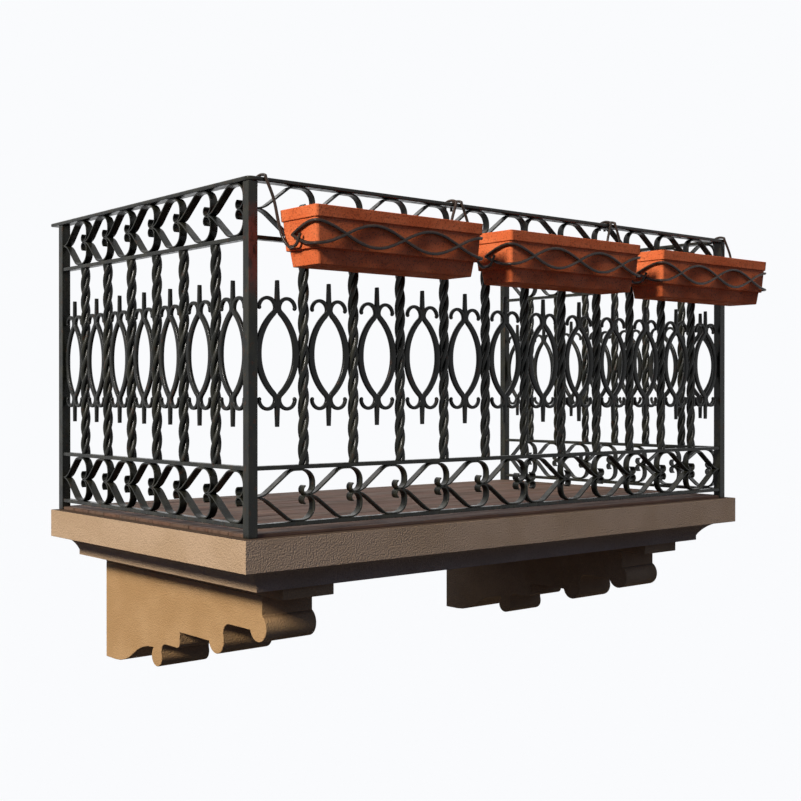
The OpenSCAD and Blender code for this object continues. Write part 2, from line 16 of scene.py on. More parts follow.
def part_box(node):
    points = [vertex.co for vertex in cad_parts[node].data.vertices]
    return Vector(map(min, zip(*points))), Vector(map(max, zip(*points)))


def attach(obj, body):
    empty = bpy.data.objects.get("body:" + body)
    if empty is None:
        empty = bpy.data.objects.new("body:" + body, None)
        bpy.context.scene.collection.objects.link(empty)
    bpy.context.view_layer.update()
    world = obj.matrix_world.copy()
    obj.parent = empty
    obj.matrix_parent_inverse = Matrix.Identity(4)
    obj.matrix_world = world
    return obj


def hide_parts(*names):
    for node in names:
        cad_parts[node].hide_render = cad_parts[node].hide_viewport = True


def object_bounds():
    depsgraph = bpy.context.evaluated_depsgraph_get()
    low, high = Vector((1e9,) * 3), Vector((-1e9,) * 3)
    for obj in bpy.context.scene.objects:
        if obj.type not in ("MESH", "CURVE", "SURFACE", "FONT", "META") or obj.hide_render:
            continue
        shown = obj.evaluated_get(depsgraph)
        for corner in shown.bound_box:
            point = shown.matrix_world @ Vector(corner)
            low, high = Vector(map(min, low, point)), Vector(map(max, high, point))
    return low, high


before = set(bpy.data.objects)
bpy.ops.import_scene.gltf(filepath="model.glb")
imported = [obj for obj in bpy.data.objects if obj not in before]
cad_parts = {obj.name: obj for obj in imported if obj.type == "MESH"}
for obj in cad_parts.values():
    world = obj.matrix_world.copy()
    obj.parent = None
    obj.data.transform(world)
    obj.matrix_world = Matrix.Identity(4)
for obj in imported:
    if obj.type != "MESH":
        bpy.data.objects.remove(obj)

CAD_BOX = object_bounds()
MM = 0.001
BODY = "root"
SPAN = ("From Min", "From Max", "To Min", "To Max")
LOG = logging.getLogger("balcony")


def to_linear(colour: str) -> tuple[float, float, float, float]:
    """Turn an sRGB hex colour into linear light.

    Args:
        colour: Six hex digits after a hash.

    Returns:
        Red, green, blue and an alpha of one.
    """
    channels = [int(colour[i : i + 2], 16) / 255 for i in (1, 3, 5)]
    lit = [c / 12.92 if c <= 0.04045 else ((c + 0.055) / 1.055) ** 2.4 for c in channels]
    return (lit[0], lit[1], lit[2], 1.0)


def add_node(
    tree: bpy.types.NodeTree, kind: str, inputs: dict[str | int, Any] | None = None, **settings: Any
) -> bpy.types.Node:
    """Add a node with its settings and its inputs.

    Args:
        tree: The material's or the world's node tree.
        kind: Blender's name of the node type.
        inputs: A value or an output socket to link, for each input's name or number.
        settings: The node's own properties.

    Returns:
        The new node.
    """
    node = tree.nodes.new(kind)
    for name, value in settings.items():
        setattr(node, name, value)
    for socket, value in (inputs or {}).items():
        if isinstance(value, bpy.types.NodeSocket):
            tree.links.new(value, node.inputs[socket])
        else:
            node.inputs[socket].default_value = value
    return node


class MixSocket:
    """Numbers of the colour sockets on a Mix node, whose names repeat."""

    FACTOR = 0
    FIRST = 6
    SECOND = 7
    RESULT = 2


class Layer(NamedTuple):
    """A colour over the ones below it, where a pattern rises from low to high, or as a mask says."""

    colour: str
    pattern: bpy.types.NodeSocket
    low_high_most: tuple[float, float, float] | None = None


class Shading(NamedTuple):
    """What a finish has worked out for its shader; each bump is a pattern with its height in millimetres."""

    base: str
    layers: list[Layer]
    rough: bpy.types.NodeSocket
    rough_span: tuple[float, float, float, float]
    bumps: list[tuple[bpy.types.NodeSocket, float]]


@dataclass(frozen=True)
class Finish:
    """A surface finish that makes one material."""

    name: str
    slot: str
    gloss: float = 0.5

    def material(self) -> bpy.types.Material:
        """Return this finish's material, made at the first call."""
        found = bpy.data.materials.get(self.name)
        if found is not None:
            return found
        made = bpy.data.materials.new(self.name)
        made.use_nodes = True
        tree = made.node_tree
        tree.nodes.clear()
        shading = self.shade(tree)
        span = dict(zip(SPAN, shading.rough_span), Value=shading.rough)
        rough = add_node(tree, "ShaderNodeMapRange", span, interpolation_type="SMOOTHSTEP")
        inputs: dict[str | int, Any] = {
            "Specular IOR Level": self.gloss,
            "Base Color": self.laid_colour(tree, shading),
            "Roughness": rough.outputs["Result"],
        }
        for pattern, height_mm in shading.bumps:
            bump: dict[str | int, Any] = {"Height": pattern, "Strength": 1.0, "Distance": height_mm * MM}
            if "Normal" in inputs:
                bump["Normal"] = inputs["Normal"]
            inputs["Normal"] = add_node(tree, "ShaderNodeBump", bump).outputs["Normal"]
        shader = add_node(tree, "ShaderNodeBsdfPrincipled", inputs)
        add_node(tree, "ShaderNodeOutputMaterial", {"Surface": shader.outputs["BSDF"]})
        return made

    def laid_colour(self, tree: bpy.types.NodeTree, shading: Shading) -> bpy.types.NodeSocket:
        """Lay the finish's colours over its base, in order.

        Args:
            tree: The material's node tree.
            shading: The finish's base and layers.

        Returns:
            The colour.
        """
        colour: Any = to_linear(shading.base)
        for layer in shading.layers:
            share = layer.pattern
            if layer.low_high_most is not None:
                low, high, most = layer.low_high_most
                span = dict(zip(SPAN, (low, high, 0.0, most)), Value=share)
                ramp = add_node(tree, "ShaderNodeMapRange", span, interpolation_type="SMOOTHSTEP")
                share = ramp.outputs["Result"]
            over = to_linear(layer.colour)
            inputs = {MixSocket.FACTOR: share, MixSocket.FIRST: colour, MixSocket.SECOND: over}
            colour = add_node(tree, "ShaderNodeMix", inputs, data_type="RGBA").outputs[MixSocket.RESULT]
        return colour

    def shade(self, tree: bpy.types.NodeTree) -> Shading:
        """Build the finish's pattern.

        Args:
            tree: The material's node tree.

        Returns:
            The colours, roughness and bumps for the shader.
        """
        raise NotImplementedError

    def pattern(
        self, tree: bpy.types.NodeTree, size_mm: Sequence[float], detail: float
    ) -> bpy.types.NodeSocket:
        """Spread clouds of a real size over Object coordinates.

        Args:
            tree: The material's node tree.
            size_mm: Size of one cloud along X, Y and Z in millimetres.
            detail: Octaves of finer noise.

        Returns:
            The noise, about 0.5 on average.
        """
        place = add_node(tree, "ShaderNodeTexCoord").outputs["Object"]
        scale = [1 / (size * MM) for size in size_mm]
        scaled = add_node(tree, "ShaderNodeMapping", {"Vector": place, "Scale": scale}).outputs["Vector"]
        noise = add_node(tree, "ShaderNodeTexNoise", {"Vector": scaled, "Scale": 1.0, "Detail": detail})
        return noise.outputs["Fac"]


@dataclass(frozen=True)
class ForgedSteel(Finish):
    """Forged mild steel under old near-black paint: uneven, half glossy, with rust where it has worn off.

    The paint is a dielectric, and old paint reflects a little less than new.
    """

    gloss: float = 0.21
    paint: str = "#181914"
    weathered: str = "#2a291f"
    rust: str = "#573420"
    primer: str = "#71392c"
    rust_share: float = 0.32
    roughness: tuple[float, float] = (0.22, 0.44)
    dimple_mm: float = 0.35
    grit_mm: float = 0.03
    patch: tuple[float, float] | None = None
    patch_fade: float = 0.05

    def shade(self, tree: bpy.types.NodeTree) -> Shading:
        """Build paint clouds, rust specks and the hammered unevenness."""
        clouds = self.pattern(tree, (38, 38, 70), 6.0)
        specks = self.pattern(tree, (16, 16, 24), 6.0)
        dimples = self.pattern(tree, (9, 9, 13), 2.0)
        grit = self.pattern(tree, (1.6, 1.6, 1.6), 2.0)
        layers = [
            Layer(self.weathered, clouds, (0.42, 0.62, 1.0)),
            Layer(self.rust, specks, (0.60, 0.72, self.rust_share)),
        ]
        if self.patch is not None:
            layers.append(Layer(self.primer, self.primer_patch(tree, specks)))
        bumps = [(dimples, self.dimple_mm), (grit, self.grit_mm)]
        return Shading(self.paint, layers, specks, (0.35, 0.68, *self.roughness), bumps)

    def primer_patch(self, tree: bpy.types.NodeTree, specks: bpy.types.NodeSocket) -> bpy.types.NodeSocket:
        """Mask red primer that shows on the outer face between two heights.

        Args:
            tree: The material's node tree.
            specks: Noise that breaks up the patch's edge.

        Returns:
            The mask.
        """
        (low, high), fade = self.patch, self.patch_fade
        place = add_node(tree, "ShaderNodeTexCoord")
        height = add_node(tree, "ShaderNodeSeparateXYZ", {"Vector": place.outputs["Object"]}).outputs["Z"]
        facing = add_node(tree, "ShaderNodeSeparateXYZ", {"Vector": place.outputs["Normal"]}).outputs["Y"]
        spans = [
            (height, (low - fade, low + fade, 0.0, 1.0)),
            (height, (high + fade, high - fade, 0.0, 1.0)),
            (facing, (-0.4, -0.9, 0.0, 1.0)),
            (specks, (0.30, 0.52, 0.25, 0.95)),
        ]
        mask: Any = 1.0
        for value, ends in spans:
            span = dict(zip(SPAN, ends), Value=value)
            part = add_node(tree, "ShaderNodeMapRange", span, interpolation_type="SMOOTHSTEP")
            factors = {0: mask, 1: part.outputs["Result"]}
            mask = add_node(tree, "ShaderNodeMath", factors, operation="MULTIPLY").outputs["Value"]
        return mask


@dataclass(frozen=True)
class Plaster(Finish):
    """Lime plaster floated on stone: matt, even in colour, with a sandy grain that scatters its gloss away.

    The grain shows where light grazes it.
    """

    gloss: float = 0.04
    light: str = "#c4a583"
    dark: str = "#bc9d7a"
    stain: str = "#8f7355"
    # Colour of a painted shade that darkens faces pointing up.
    top_shade: str = "#46372d"
    wave_mm: float = 0.3
    sand_mm: float = 3.2

    def shade(self, tree: bpy.types.NodeTree) -> Shading:
        """Build faint clouds, a painted shade on what faces up, and grain.

        The grain is drawn coarser and deeper than real sand, so that it shows.
        """
        clouds = self.pattern(tree, (170, 170, 140), 5.0)
        sand = self.pattern(tree, (5.0, 5.0, 5.0), 1.0)
        waves = self.pattern(tree, (55, 55, 55), 2.0)
        way = add_node(tree, "ShaderNodeTexCoord").outputs["Normal"]
        facing = add_node(tree, "ShaderNodeSeparateXYZ", {"Vector": way}).outputs["Z"]
        layers = [
            Layer(self.dark, clouds, (0.36, 0.64, 1.0)),
            Layer(self.stain, sand, (0.46, 0.72, 0.22)),
            # Faces that point up are darkened here: painted shade laid over their sunlit tops.
            Layer(self.top_shade, facing, (0.6, 0.95, 0.9)),
        ]
        bumps = [(waves, self.wave_mm), (sand, self.sand_mm)]
        return Shading(self.light, layers, sand, (0.3, 0.7, 0.82, 0.96), bumps)


@dataclass(frozen=True)
class WeatheredBoards(Finish):
    """Softwood boards outdoors: dry, with brown stain worn along the grain, greyed between."""

    gloss: float = 0.12
    stain: str = "#6c5645"
    red: str = "#72503e"
    dark: str = "#3f3028"
    grey: str = "#594c43"

    def shade(self, tree: bpy.types.NodeTree) -> Shading:
        """Build long grain along X, with a tint for each board."""
        grain = self.pattern(tree, (210, 24, 24), 7.0)
        fibre = self.pattern(tree, (90, 1.8, 8), 3.0)
        wear = self.pattern(tree, (150, 55, 55), 5.0)
        tint = add_node(tree, "ShaderNodeAttribute", attribute_name=BoardedFloor.TINT).outputs["Fac"]
        layers = [
            Layer(self.red, tint),
            Layer(self.dark, grain, (0.46, 0.66, 0.45)),
            Layer(self.grey, wear, (0.5, 0.7, 0.6)),
        ]
        return Shading(self.stain, layers, grain, (0.3, 0.7, 0.6, 0.85), [(grain, 0.7), (fibre, 0.2)])


@dataclass(frozen=True)
class Terracotta(Finish):
    """Fired red clay, unglazed: dry, matt orange with darker fire marks and pores."""

    gloss: float = 0.12
    clay: str = "#f6804b"
    fired: str = "#ea713e"
    pore: str = "#86391f"

    def shade(self, tree: bpy.types.NodeTree) -> Shading:
        """Build fire clouds, pores and a fine matt grain."""
        clouds = self.pattern(tree, (90, 90, 60), 5.0)
        smudges = self.pattern(tree, (26, 26, 15), 5.0)
        pores = self.pattern(tree, (5, 5, 5), 3.0)
        grain = self.pattern(tree, (1.5, 1.5, 1.5), 2.0)
        lines = self.pattern(tree, (220, 220, 5), 3.0)
        layers = [
            Layer(self.fired, clouds, (0.38, 0.66, 1.0)),
            Layer(self.pore, smudges, (0.56, 0.72, 0.3)),
            Layer(self.pore, pores, (0.5, 0.72, 0.6)),
        ]
        bumps = [(lines, 0.4), (pores, 1.0), (grain, 0.12)]
        return Shading(self.clay, layers, clouds, (0.3, 0.7, 0.72, 0.9), bumps)


STEEL = ForgedSteel("forged_steel_old_paint", "wrought_steel")
STRIP = ForgedSteel("rolled_strip_old_paint", "wrought_steel", dimple_mm=0.12)
# The lens bars get darker paint and weathering than the other steel: painted shade, for bars that stand in
# more shade.
SHADE_DARKENED_LENS = ForgedSteel(
    "forged_lens_paint_darkened_for_shade", "wrought_steel", paint="#0f100d", weathered="#1b1b15", dimple_mm=0.3
)
WIRE = ForgedSteel(
    "drawn_wire_brown_paint", "holder_wire", paint="#2f251d", weathered="#43342a", rust_share=0.4
)
SLAB_PLASTER = Plaster("slab_lime_plaster", "stone")
CORBEL_PLASTER = Plaster("corbel_lime_plaster", "stone", light="#c0996b", dark="#b68f61", stain="#8a6c4a")
BOARDS = WeatheredBoards("stained_softwood_boards", "floor_wood")
CLAY = Terracotta("unglazed_terracotta", "terracotta")


class Station(NamedTuple):
    """A place on a bent bar's middle line in its panel's drawing."""

    u: float
    v: float
    heading: float
    width: float


def sharp_edges(bm: bmesh.types.BMesh, degrees: float) -> list[bmesh.types.BMEdge]:
    """Find the edges at which two faces turn by more than an angle.

    Args:
        bm: The mesh.
        degrees: The angle.

    Returns:
        The edges.
    """
    limit = math.radians(degrees)
    return [e for e in bm.edges if len(e.link_faces) == 2 and e.calc_face_angle(0.0) > limit]


def ease(bm: bmesh.types.BMesh, edges: list[bmesh.types.BMEdge], radius: float, segments: int = 2) -> None:
    """Round edges over.

    Args:
        bm: The mesh.
        edges: The edges to round.
        radius: Width of the rounding in metres.
        segments: Faces across the rounding.
    """
    bmesh.ops.bevel(
        bm, geom=edges, offset=radius, segments=segments, profile=0.5, affect="EDGES", material=-1,
        clamp_overlap=True,
    )


def rounded_section(width: float, depth: float, radius: float, segments: int = 2) -> bmesh.types.BMesh:
    """Draw a bar's section, flat at the origin.

    Args:
        width: Size along X in metres.
        depth: Size along Y in metres.
        radius: Rounding of the corners in metres.
        segments: Edges in each rounding.

    Returns:
        A mesh with one face.
    """
    bm = bmesh.new()
    bmesh.ops.create_grid(bm, x_segments=1, y_segments=1, size=0.5)
    bmesh.ops.scale(bm, vec=(width, depth, 1.0), verts=bm.verts)
    bmesh.ops.bevel(
        bm, geom=bm.verts[:], offset=radius, segments=segments, profile=0.5, affect="VERTICES", material=-1
    )
    return bm


def sweep(bm: bmesh.types.BMesh, places: Sequence[Matrix]) -> bmesh.types.BMesh:
    """Extrude a section's one face from place to place, and close both ends.

    Args:
        bm: The section, flat at the origin.
        places: Where the section goes, from the bar's start to its end.

    Returns:
        The same mesh, now a closed bar.
    """
    bm.faces.ensure_lookup_table()
    face = bm.faces[0]
    bmesh.ops.transform(bm, matrix=places[0], verts=face.verts)
    for i, (here, there) in enumerate(zip(places, places[1:])):
        grown = bmesh.ops.extrude_face_region(bm, geom=[face], use_keep_orig=True)
        if i > 0:
            bmesh.ops.delete(bm, geom=[face], context="FACES_ONLY")
        face = next(g for g in grown["geom"] if isinstance(g, bmesh.types.BMFace))
        bmesh.ops.transform(bm, matrix=there @ here.inverted(), verts=face.verts)
    bmesh.ops.recalc_face_normals(bm, faces=bm.faces)
    return bm


def bar_place(s: Station, width: float) -> Matrix:
    """Turn a station into the place of a section whose X is the bar's width and Y its depth.

    Args:
        s: The station.
        width: The section's own width, which the station's width is compared with.

    Returns:
        The place in the panel's drawing.
    """
    c, k = math.cos(s.heading), math.sin(s.heading)
    wide = s.width / width
    return Matrix(((-k * wide, 0, c, s.u), (0, -1, 0, 0), (c * wide, 0, k, s.v), (0, 0, 0, 1)))


def bend(
    centre: tuple[float, float],
    radius: float,
    start: float,
    end: float,
    widths: tuple[float, float],
    steps: int,
) -> list[Station]:
    """Place stations along an arc.

    Args:
        centre: Middle of the arc.
        radius: Its radius.
        start: First angle in degrees.
        end: Last angle in degrees, more or less than the first.
        widths: The bar's width at both ends.
        steps: Number of steps.

    Returns:
        The stations, both ends included.
    """
    way = math.copysign(math.pi / 2, end - start)
    stations = []
    for i in range(steps + 1):
        share = i / steps
        a = math.radians(start + (end - start) * share)
        width = widths[0] + (widths[1] - widths[0]) * share
        u, v = centre[0] + radius * math.cos(a), centre[1] + radius * math.sin(a)
        stations.append(Station(u, v, a + way, width))
    return stations


def to_unit(bm: bmesh.types.BMesh) -> bpy.types.Mesh:
    """Keep a finished shape as a mesh that can be stamped many times."""
    mesh = bpy.data.meshes.new("unit")
    bm.to_mesh(mesh)
    bm.free()
    return mesh


def forge(path: Sequence[Station], width_mm: float, depth_mm: float, corner_mm: float) -> bpy.types.Mesh:
    """Forge a flat bar along stations.

    Args:
        path: The stations, in millimetres.
        width_mm: Width of the bar's section, which each station's own width scales.
        depth_mm: Depth of the section.
        corner_mm: Rounding of its corners.

    Returns:
        The bar in the panel's drawing.
    """
    metres = [Station(s.u * MM, s.v * MM, s.heading, s.width * MM) for s in path]
    section = rounded_section(width_mm * MM, depth_mm * MM, corner_mm * MM)
    return to_unit(sweep(section, [bar_place(s, width_mm * MM) for s in metres]))


def weld_bead(half_mm: Sequence[float]) -> bpy.types.Mesh:
    """Shape a weld bead.

    Args:
        half_mm: Half of its size along X, Y and Z in millimetres.

    Returns:
        The bead about the drawing's origin.
    """
    bm = bmesh.new()
    bmesh.ops.create_uvsphere(bm, u_segments=12, v_segments=8, radius=1.0)
    bmesh.ops.scale(bm, vec=[half * MM for half in half_mm], verts=bm.verts)
    return to_unit(bm)


def stamp(bm: bmesh.types.BMesh, unit: bpy.types.Mesh, place: Matrix) -> None:
    """Add a copy of a unit shape.

    Args:
        bm: The mesh that gets the copy.
        unit: The shape.
        place: Where it goes; a mirroring place is allowed.
    """
    old_verts, old_faces = len(bm.verts), len(bm.faces)
    bm.from_mesh(unit)
    bm.verts.ensure_lookup_table()
    bmesh.ops.transform(bm, matrix=place, verts=bm.verts[old_verts:])
    if place.determinant() < 0:
        bm.faces.ensure_lookup_table()
        bmesh.ops.reverse_faces(bm, faces=bm.faces[old_faces:])


def middle(node: str) -> Vector:
    """Return the middle of a node's box."""
    low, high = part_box(node)
    return (low + high) / 2


def add_piece(
    name: str, bm: bmesh.types.BMesh, finish: Finish, nodes: Sequence[str], smooth_below: float = 40.0
) -> bpy.types.Object:
    """Make a finished piece that stands for CAD nodes.

    Args:
        name: The piece's name.
        bm: Its mesh, in place; it is freed.
        finish: Its finish.
        nodes: The nodes that it stands for.
        smooth_below: Edges turning by less than this many degrees are shaded smooth.

    Returns:
        The piece.
    """
    mesh = bpy.data.meshes.new(name)
    bm.to_mesh(mesh)
    bm.free()
    mesh.shade_smooth()
    mesh.set_sharp_from_angle(angle=math.radians(smooth_below))
    mesh.materials.append(finish.material())
    piece = bpy.data.objects.new(name, mesh)
    bpy.context.scene.collection.objects.link(piece)
    flat = piece.modifiers.new("flat_faces", "WEIGHTED_NORMAL")
    flat.keep_sharp = True
    flat.weight = 100
    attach(piece, BODY)
    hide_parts(*nodes)
    LOG.info("%s: %d faces, for %s", name, len(mesh.polygons), ", ".join(nodes))
    return piece


class Side(Enum):
    """The railing's three sides, each with its first and last post."""

    LEFT = ("left", "left_wall_post", "left_corner_post")
    FRONT = ("front", "left_corner_post", "right_corner_post")
    RIGHT = ("right", "right_wall_post", "right_corner_post")

    def __init__(self, word: str, first: str, last: str) -> None:
        """Keep the side's word and its posts' names."""
        self.word = word
        self.first = first
        self.last = last

    def place(self) -> Matrix:
        """Return the place of this side's drawing: X along it from the first post, Z up from the origin."""
        start, end = middle(self.first), middle(self.last)
        along = (end - start).normalized()
        up = Vector((0, 0, 1))
        out = up.cross(along)
        return Matrix(
            [(along[i], out[i], up[i], start[i] if i < 2 else 0.0) for i in range(3)] + [(0, 0, 0, 1)]
        )

    def run(self) -> float:
        """Return the distance between the middles of the side's posts."""
        return (middle(self.last) - middle(self.first)).length


@dataclass(frozen=True)
class Bays:
    """How the bays divide the sides: even on the front, and the front's width beside the corners."""

    front_count: int = 12
    side_count: int = 7
    corner_count: int = 2
    post_mm: float = 30.0
    bar_reach_mm: float = 16.3

    def edges(self, side: Side) -> list[float]:
        """Return the bays' edges along a side, from the middle of its first post.

        Args:
            side: The side.

        Returns:
            One more edge than there are bays.
        """
        front_bay = Side.FRONT.run() / self.front_count
        if side is Side.FRONT:
            return [i * front_bay for i in range(self.front_count + 1)]
        even = self.side_count - self.corner_count
        bay = (side.run() - self.corner_count * front_bay) / even
        return [i * bay + max(0, i - even) * (front_bay - bay) for i in range(self.side_count + 1)]


@dataclass
class EasedSolids:
    """Plain bars and blocks: the CAD solids with their edges rounded over."""

    finish: Finish
    nodes: Sequence[str]
    radius_mm: float
    segments: int = 2
    sharp_degrees: float = 35.0

    def build(self) -> None:
        """Make one piece for each node."""
        for node in self.nodes:
            bm = bmesh.new()
            bm.from_mesh(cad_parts[node].data)
            bmesh.ops.remove_doubles(bm, verts=bm.verts, dist=0.01 * MM)
            bmesh.ops.dissolve_limit(bm, angle_limit=math.radians(0.5), verts=bm.verts, edges=bm.edges)
            ease(bm, sharp_edges(bm, self.sharp_degrees), self.radius_mm * MM, self.segments)
            add_piece(f"{node}_dressed", bm, self.finish, [node])


@dataclass
class Handrail:
    """The flat handrail, one bar bent round both corners."""

    finish: Finish
    width_mm: float = 40.0
    corner_mm: float = 20.0
    edge_mm: float = 3.5

    def build(self) -> None:
        """Draw the rail's plan, raise it, and round its corners and long edges."""
        low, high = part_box("left_handrail")
        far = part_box("right_handrail")[1].x
        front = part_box("front_handrail")[0].y
        w = self.width_mm * MM
        plan = [(low.x, high.y), (low.x, front), (far, front), (far, high.y)]
        plan += [(far - w, high.y), (far - w, front + w), (low.x + w, front + w), (low.x + w, high.y)]
        bm = bmesh.new()
        face = bm.faces.new([bm.verts.new((x, y, low.z)) for x, y in plan])
        raised = bmesh.ops.extrude_face_region(bm, geom=[face], use_keep_orig=True)
        top = [g for g in raised["geom"] if isinstance(g, bmesh.types.BMVert)]
        bmesh.ops.translate(bm, vec=(0, 0, high.z - low.z), verts=top)
        bmesh.ops.recalc_face_normals(bm, faces=bm.faces)
        upright = [e for e in bm.edges if self.is_upright(e)]
        corners = [e for e in upright if all(abs(v.co.y - front) < MM for v in e.verts)]
        ease(bm, corners, self.corner_mm * MM, 10)
        level = [e for e in sharp_edges(bm, 60.0) if not self.is_upright(e)]
        ease(bm, level, self.edge_mm * MM, 3)
        add_piece("handrail", bm, self.finish, ["left_handrail", "front_handrail", "right_handrail"])

    @staticmethod
    def is_upright(edge: bmesh.types.BMEdge) -> bool:
        """Return whether an edge stands up."""
        return abs(edge.verts[0].co.z - edge.verts[1].co.z) > MM


@dataclass
class TwistedBars:
    """Three rods twisted hot into one ribbed bar, between the lower rail and the frieze rail."""

    finish: Finish
    bays: Bays
    rod_mm: float = 8.0
    turn_mm: float = 180.0
    points: int = 36
    steps: int = 70

    def build(self) -> None:
        """Make one piece a side."""
        for side in Side:
            node = f"{side.word}_twisted_bars"
            low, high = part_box(node)
            unit = self.bar(low.z, high.z)
            bm = bmesh.new()
            for u in self.bays.edges(side)[1:-1]:
                stamp(bm, unit, side.place() @ Matrix.Translation((u, 0, 0)))
            add_piece(f"{node}_forged", bm, self.finish, [node], 70.0)

    def section(self) -> bmesh.types.BMesh:
        """Draw the outline of three rods that touch, the first one along Y.

        Returns:
            A mesh with one face.
        """
        bm = bmesh.new()
        bmesh.ops.create_circle(bm, cap_ends=True, segments=self.points, radius=1.0)
        third = 2 * math.pi / 3
        away = self.bays.bar_reach_mm - self.rod_mm
        for vert in bm.verts:
            angle = math.atan2(vert.co.y, vert.co.x) - math.pi / 2
            off = (angle + third / 2) % third - third / 2
            vert.co *= (away * math.cos(off) + math.sqrt(self.rod_mm**2 - (away * math.sin(off)) ** 2)) * MM
        return bm

    def bar(self, foot: float, head: float) -> bpy.types.Mesh:
        """Twist one bar, whose first rod points inwards at mid height.

        Args:
            foot: Height of its lower end.
            head: Height of its upper end.

        Returns:
            The bar at the drawing's origin.
        """
        places = []
        for i in range(self.steps + 1):
            z = foot + (head - foot) * i / self.steps
            turn = 2 * math.pi * (z - (foot + head) / 2) / (self.turn_mm * MM)
            places.append(Matrix.Translation((0, 0, z)) @ Matrix.Rotation(turn, 4, "Z"))
        return to_unit(sweep(self.section(), places))


@dataclass
class LensOrnaments:
    """Pairs of bars bowed into a lens, with hooked ends and a spike above and below."""

    finish: Finish
    bays: Bays
    depth_mm: float = 12.0
    belly_w_mm: float = 21.0
    neck_w_mm: float = 12.0
    tip_w_mm: float = 9.0
    neck_h_mm: float = 128.0
    neck_r_mm: float = 20.0
    hook_share: float = 0.37
    knob_r_mm: float = 6.0
    spike_h_mm: float = 206.0
    spike_foot_mm: float = 10.2
    spike_base_mm: float = 17.0
    spike_tip_mm: float = 11.0
    spike_eased_mm: float = 1.2
    corner_mm: float = 4.4
    bead_mm: tuple[float, float, float] = (4.0, 5.4, 6.4)
    bead_h_mm: float = 15.0

    def build(self) -> None:
        """Make one piece a side, with one lens in each bay and a weld bead at each bar."""
        reach = self.bays.bar_reach_mm * MM
        post = self.bays.post_mm / 2 * MM
        inset, rise = self.bead_mm[0] * MM, self.bead_h_mm * MM
        bead = weld_bead(self.bead_mm)
        for side in Side:
            node = f"{side.word}_lens_ornaments"
            height = middle(node).z
            edges = self.bays.edges(side)
            last = len(edges) - 2
            units: dict[int, bpy.types.Mesh] = {}
            bm = bmesh.new()
            for i in range(last + 1):
                start = edges[i] + (post if i == 0 else reach)
                end = edges[i + 1] - (post if i == last else reach)
                key = round((end - start) / 2 / MM * 10)
                if key not in units:
                    units[key] = self.lens((end - start) / 2 / MM)
                stamp(bm, units[key], side.place() @ Matrix.Translation(((start + end) / 2, 0, height)))
                if i > 0:
                    stamp(bm, bead, side.place() @ Matrix.Translation((start + inset, 0, height + rise)))
                if i < last:
                    stamp(bm, bead, side.place() @ Matrix.Translation((end - inset, 0, height - rise)))
            add_piece(f"{node}_forged", bm, self.finish, [node], 50.0)

    def half_bar(self, half_mm: float) -> list[Station]:
        """Place the right bar's stations from the belly to the hook's end, in millimetres.

        Args:
            half_mm: Half of the lens's width.

        Returns:
            The stations.
        """
        x0 = half_mm - self.belly_w_mm / 2
        xn = self.neck_w_mm / 2
        turn = 2 * math.atan((x0 - xn) / self.neck_h_mm)
        neck_r, hook_r = self.neck_r_mm, self.hook_share * half_mm
        belly_r = self.neck_h_mm / math.sin(turn) - neck_r
        t = math.degrees(turn)
        mid_w = (self.belly_w_mm + self.neck_w_mm) / 2
        belly = bend((x0 - belly_r, 0), belly_r, 0, t, (self.belly_w_mm, mid_w), 12)
        neck = bend((xn + neck_r, self.neck_h_mm), neck_r, 180 + t, 180, (mid_w, self.neck_w_mm), 6)
        hook = bend((xn + hook_r, self.neck_h_mm), hook_r, 180, 0, (self.neck_w_mm, self.tip_w_mm), 18)
        return belly + neck[1:] + hook[1:]

    def lens(self, half_mm: float) -> bpy.types.Mesh:
        """Forge one lens about the drawing's origin.

        Args:
            half_mm: Half of its width in millimetres.

        Returns:
            The lens.
        """
        upper = self.half_bar(half_mm)
        lower = [Station(s.u, -s.v, math.pi - s.heading, s.width) for s in reversed(upper[1:])]
        bar = forge(lower + upper, self.belly_w_mm, self.depth_mm, self.corner_mm)
        knob = self.knob(upper[-1])
        spike = self.spike()
        bm = bmesh.new()
        for across in (1, -1):
            stamp(bm, bar, Matrix.Diagonal((across, 1, 1, 1)))
            stamp(bm, spike, Matrix.Diagonal((1, 1, across, 1)))
            for along in (1, -1):
                stamp(bm, knob, Matrix.Diagonal((across, 1, along, 1)))
        return to_unit(bm)

    def knob(self, end: Station) -> bpy.types.Mesh:
        """Round off a hook's end.

        Args:
            end: The hook's last station, in millimetres.

        Returns:
            The knob in place on the upper right hook.
        """
        bm = bmesh.new()
        bmesh.ops.create_uvsphere(bm, u_segments=14, v_segments=10, radius=self.knob_r_mm * MM)
        bmesh.ops.translate(bm, vec=((end.u - self.knob_r_mm / 4) * MM, 0, end.v * MM), verts=bm.verts)
        return to_unit(bm)

    def spike(self) -> bpy.types.Mesh:
        """Taper the upper spike, with a blunt, eased end.

        Returns:
            The spike in place above the lens.
        """
        base, tip, eased = self.spike_base_mm, self.spike_tip_mm, self.spike_eased_mm
        profile = [
            (self.neck_h_mm - self.neck_w_mm, self.spike_foot_mm),
            (self.neck_h_mm + self.neck_w_mm, base),
            (self.spike_h_mm - eased, tip),
            (self.spike_h_mm, tip - 2 * eased),
        ]
        up = [Station(0.0, v, math.pi / 2, w) for v, w in profile]
        return forge(up, base, self.depth_mm, self.corner_mm)


